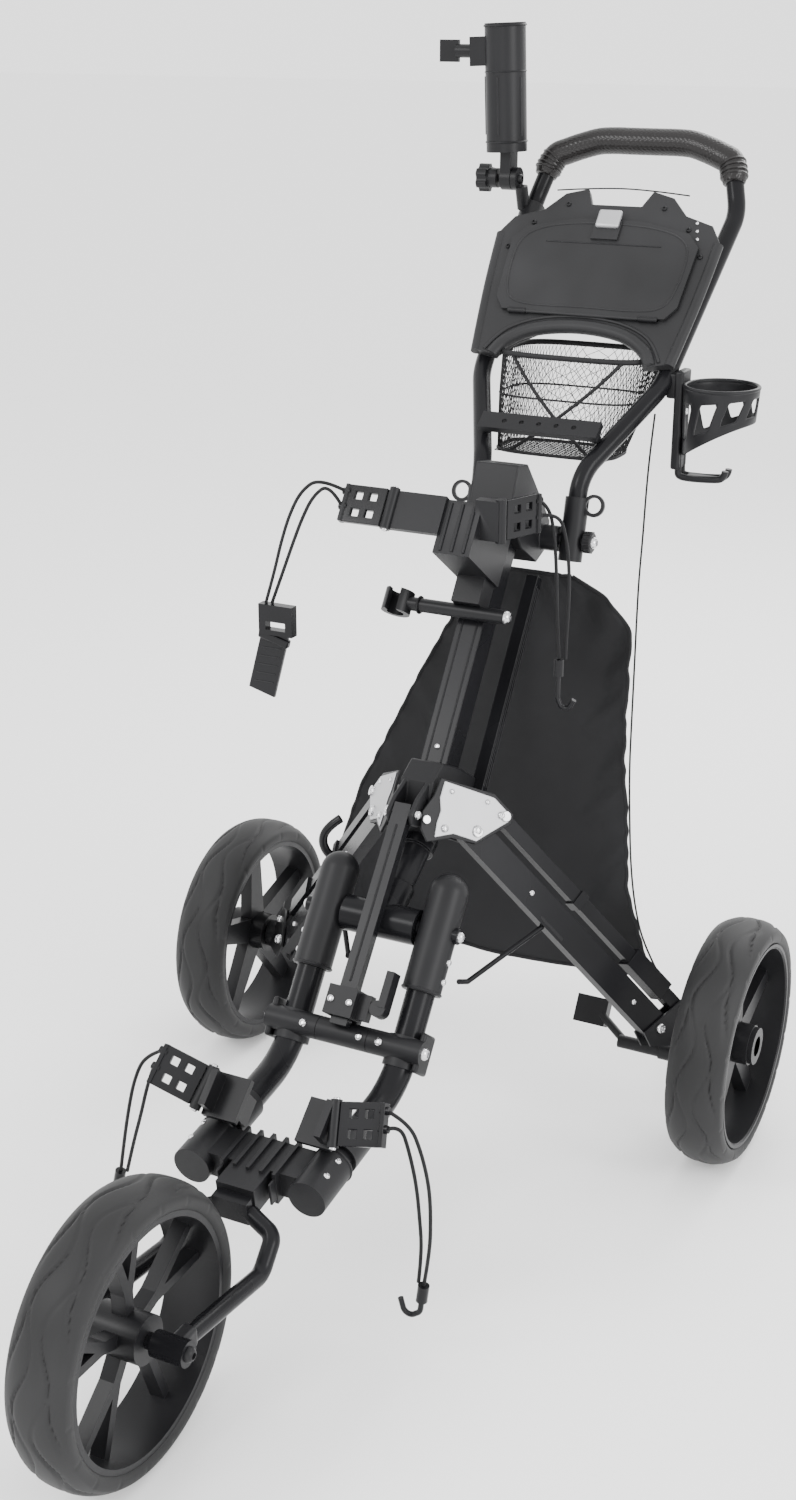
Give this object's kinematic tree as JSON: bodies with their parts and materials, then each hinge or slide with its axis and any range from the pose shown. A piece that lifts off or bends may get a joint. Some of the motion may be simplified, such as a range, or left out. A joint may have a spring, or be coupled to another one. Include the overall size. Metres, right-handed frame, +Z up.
{
  "type": "golf push cart",
  "caption": "Folding golf push cart on wheels with a padded handle, console, net basket, bottle cage, umbrella socket, strap cradles, brace lock and a fabric sheet.",
  "frame": {"origin": "on the ground, under the middle of the cart's box measured without its loose cords", "axes": "+Z up, +Y from the front wheel towards the handle, +X to the right of a person standing in front of the cart"},
  "size_m": [0.718, 1.398, 1.2449],
  "materials": {
    "satin_black_metal": "satin black paint",
    "black_casting": "fine textured black paint",
    "silver_cover": "brushed, light grey",
    "steel_bolts": "bright",
    "black_plastic": "fine grained",
    "console_plastic": "fine grained",
    "grip_leather": "braided black",
    "net_fabric": "open black net",
    "sheet_fabric": "woven black",
    "tyre_foam": "dull, with wavy grooves",
    "strap_plastic": "slightly glossy",
    "cord_black": "braided elastic",
    "hook_plastic": "smooth"
  },
  "bodies": {
    "frame": {"main_rail": "satin_black_metal", "rear_bars": "satin_black_metal", "gusset_core": "black_casting", "gusset_plates": "black_casting", "gusset_covers": "silver_cover", "gusset_bolts": "steel_bolts", "column": "satin_black_metal", "hinge_block": "black_plastic", "cradle_base": "black_plastic", "storage_sheet": "sheet_fabric", "elastic_cord_right": "cord_black"},
    "handle": {"handle_tube": "satin_black_metal", "handle_sleeves": "black_plastic", "handle_grip": "grip_leather", "console_panel": "console_plastic", "tray_bar": "black_plastic", "net_basket": "net_fabric", "bottle_cage": "black_plastic", "umbrella_clamp": "black_plastic"},
    "console_lid": {"console_lid": "console_plastic"},
    "umbrella_holder": {"umbrella_holder": "black_plastic"},
    "star_knob": {"star_knob": "black_plastic"},
    "wing_knob": {"wing_knob": "black_plastic"},
    "front_frame": {"tee_fittings": "black_casting", "front_tubes": "satin_black_metal", "crossbar": "black_casting", "nose_bracket": "black_casting", "fork": "satin_black_metal", "lower_cradles": "black_plastic"},
    "front_wheel": {"front_tyre": "tyre_foam", "front_rim": "black_plastic"},
    "brace": {"brace_bar": "satin_black_metal"},
    "slider": {"slider_clamp": "black_casting"},
    "cam_lever": {"cam_lever": "black_plastic"},
    "upper_strap_left": {"upper_strap_left": "strap_plastic", "bungee_upper_left": "cord_black", "upper_left_buckle": "hook_plastic"},
    "upper_strap_right": {"upper_strap_right": "strap_plastic", "bungee_upper_right": "cord_black", "upper_right_hook": "hook_plastic"},
    "lower_strap_left": {"lower_strap_left": "strap_plastic", "bungee_lower_left": "cord_black", "lower_left_hook": "hook_plastic"},
    "lower_strap_right": {"lower_strap_right": "strap_plastic", "bungee_lower_right": "cord_black", "lower_right_hook": "hook_plastic"},
    "leg_left": {"leg_left": "satin_black_metal"},
    "leg_right": {"leg_right": "satin_black_metal"},
    "rod_left": {"rod_left": "satin_black_metal"},
    "rod_right": {"rod_right": "satin_black_metal"},
    "bracket_left": {"bracket_left": "black_casting"},
    "bracket_right": {"bracket_right": "black_casting"},
    "rear_wheel_left": {"rear_tyre_left": "tyre_foam", "rear_rim_left": "black_plastic"},
    "rear_wheel_right": {"rear_tyre_right": "tyre_foam", "rear_rim_right": "black_plastic"},
    "brake_pedal": {"brake_pedal": "black_plastic"}
  },
  "joints": [
    {"name": "front_fold", "type": "hinge", "parent": "frame", "child": "front_frame", "pos_m": [0, -0.036, 0.342], "axis": [-1, 0, 0], "range_deg": [0, 75]},
    {"name": "front_wheel_spin", "type": "hinge", "parent": "front_frame", "child": "front_wheel", "pos_m": [0, -0.553, 0.146], "axis": [1, 0, 0], "continuous": true},
    {"name": "brace_swing", "type": "hinge", "parent": "frame", "child": "brace", "pos_m": [0, 0.012, 0.452], "axis": [-1, 0, 0], "range_deg": [0, 43]},
    {"name": "clamp_turn", "type": "hinge", "parent": "front_frame", "child": "slider", "pos_m": [0, -0.12445, 0.24328], "axis": [-1, 0, 0], "range_deg": [-34, 0]},
    {"name": "lever_turn", "type": "hinge", "parent": "slider", "child": "cam_lever", "pos_m": [0.04, -0.12097, 0.28113], "axis": [0, -0.7892, 0.6141], "range_deg": [0, 34]},
    {"name": "leg_fold_right", "type": "hinge", "parent": "frame", "child": "leg_right", "pos_m": [0.056, 0.072, 0.416], "axis": [-0.7767, 0.5053, -0.3761], "range_deg": [0, 28.5]},
    {"name": "rod_fold_right", "type": "hinge", "parent": "frame", "child": "rod_right", "pos_m": [0.07425, 0.10684, 0.42512], "axis": [-0.7767, 0.5053, -0.3761], "range_deg": [0, 28.5]},
    {"name": "bracket_turn_right", "type": "hinge", "parent": "leg_right", "child": "bracket_right", "pos_m": [0.247, 0.178, 0.164], "axis": [-0.7767, 0.5053, -0.3761], "range_deg": [-28.5, 0]},
    {"name": "rear_wheel_spin_right", "type": "hinge", "parent": "bracket_right", "child": "rear_wheel_right", "pos_m": [0.3255, 0.222, 0.146], "axis": [1, 0, 0], "continuous": true},
    {"name": "leg_fold_left", "type": "hinge", "parent": "frame", "child": "leg_left", "pos_m": [-0.056, 0.072, 0.416], "axis": [-0.7767, -0.5053, 0.3761], "range_deg": [0, 28.5]},
    {"name": "rod_fold_left", "type": "hinge", "parent": "frame", "child": "rod_left", "pos_m": [-0.07425, 0.10684, 0.42512], "axis": [-0.7767, -0.5053, 0.3761], "range_deg": [0, 28.5]},
    {"name": "bracket_turn_left", "type": "hinge", "parent": "leg_left", "child": "bracket_left", "pos_m": [-0.247, 0.178, 0.164], "axis": [-0.7767, -0.5053, 0.3761], "range_deg": [-28.5, 0]},
    {"name": "rear_wheel_spin_left", "type": "hinge", "parent": "bracket_left", "child": "rear_wheel_left", "pos_m": [-0.3255, 0.222, 0.146], "axis": [1, 0, 0], "continuous": true},
    {"name": "brake_press", "type": "hinge", "parent": "bracket_right", "child": "brake_pedal", "pos_m": [0.2185, 0.222, 0.11], "axis": [1, 0, 0], "range_deg": [-15, 0]},
    {"name": "handle_fold", "type": "hinge", "parent": "frame", "child": "handle", "pos_m": [0, 0.326, 0.69], "axis": [-1, 0, 0], "range_deg": [-10, 60]},
    {"name": "lid_open", "type": "hinge", "parent": "handle", "child": "console_lid", "pos_m": [0, 0.48383, 0.92214], "axis": [1, 0, 0], "range_deg": [0, 100]},
    {"name": "holder_tilt", "type": "hinge", "parent": "handle", "child": "umbrella_holder", "pos_m": [-0.16, 0.622, 1.062], "axis": [1, 0, 0], "range_deg": [-10, 50]},
    {"name": "star_knob_turn", "type": "hinge", "parent": "handle", "child": "star_knob", "pos_m": [-0.16, 0.622, 1.062], "axis": [-1, 0, 0], "continuous": true},
    {"name": "wing_knob_turn", "type": "hinge", "parent": "umbrella_holder", "child": "wing_knob", "pos_m": [-0.21184, 0.622, 1.2109], "axis": [-1, 0, 0], "continuous": true},
    {"name": "upper_strap_swing_left", "type": "hinge", "parent": "frame", "child": "upper_strap_left", "pos_m": [-0.084, 0.14514, 0.7508], "axis": [0, 0.5621, 0.8271], "range_deg": [-20, 50]},
    {"name": "upper_strap_swing_right", "type": "hinge", "parent": "frame", "child": "upper_strap_right", "pos_m": [0.044, 0.16, 0.748], "axis": [0, 0, 1], "range_deg": [-70, 0]},
    {"name": "lower_strap_swing_right", "type": "hinge", "parent": "front_frame", "child": "lower_strap_right", "pos_m": [0.076, -0.28784, 0.24314], "axis": [-0.1968, 0.5735, 0.7952], "range_deg": [-30, 30]},
    {"name": "lower_strap_swing_left", "type": "hinge", "parent": "front_frame", "child": "lower_strap_left", "pos_m": [-0.076, -0.28784, 0.24314], "axis": [-0.1968, -0.5735, -0.7952], "range_deg": [-30, 30]}
  ],
  "couplings": [
    {"joint": "brace_swing", "follows": "front_fold", "ratio": 0.562},
    {"joint": "clamp_turn", "follows": "front_fold", "ratio": -0.438},
    {"joint": "leg_fold_right", "follows": "front_fold", "ratio": 0.36667},
    {"joint": "rod_fold_right", "follows": "front_fold", "ratio": 0.36667},
    {"joint": "bracket_turn_right", "follows": "front_fold", "ratio": -0.36667},
    {"joint": "leg_fold_left", "follows": "front_fold", "ratio": 0.36667},
    {"joint": "rod_fold_left", "follows": "front_fold", "ratio": 0.36667},
    {"joint": "bracket_turn_left", "follows": "front_fold", "ratio": -0.36667}
  ]
}
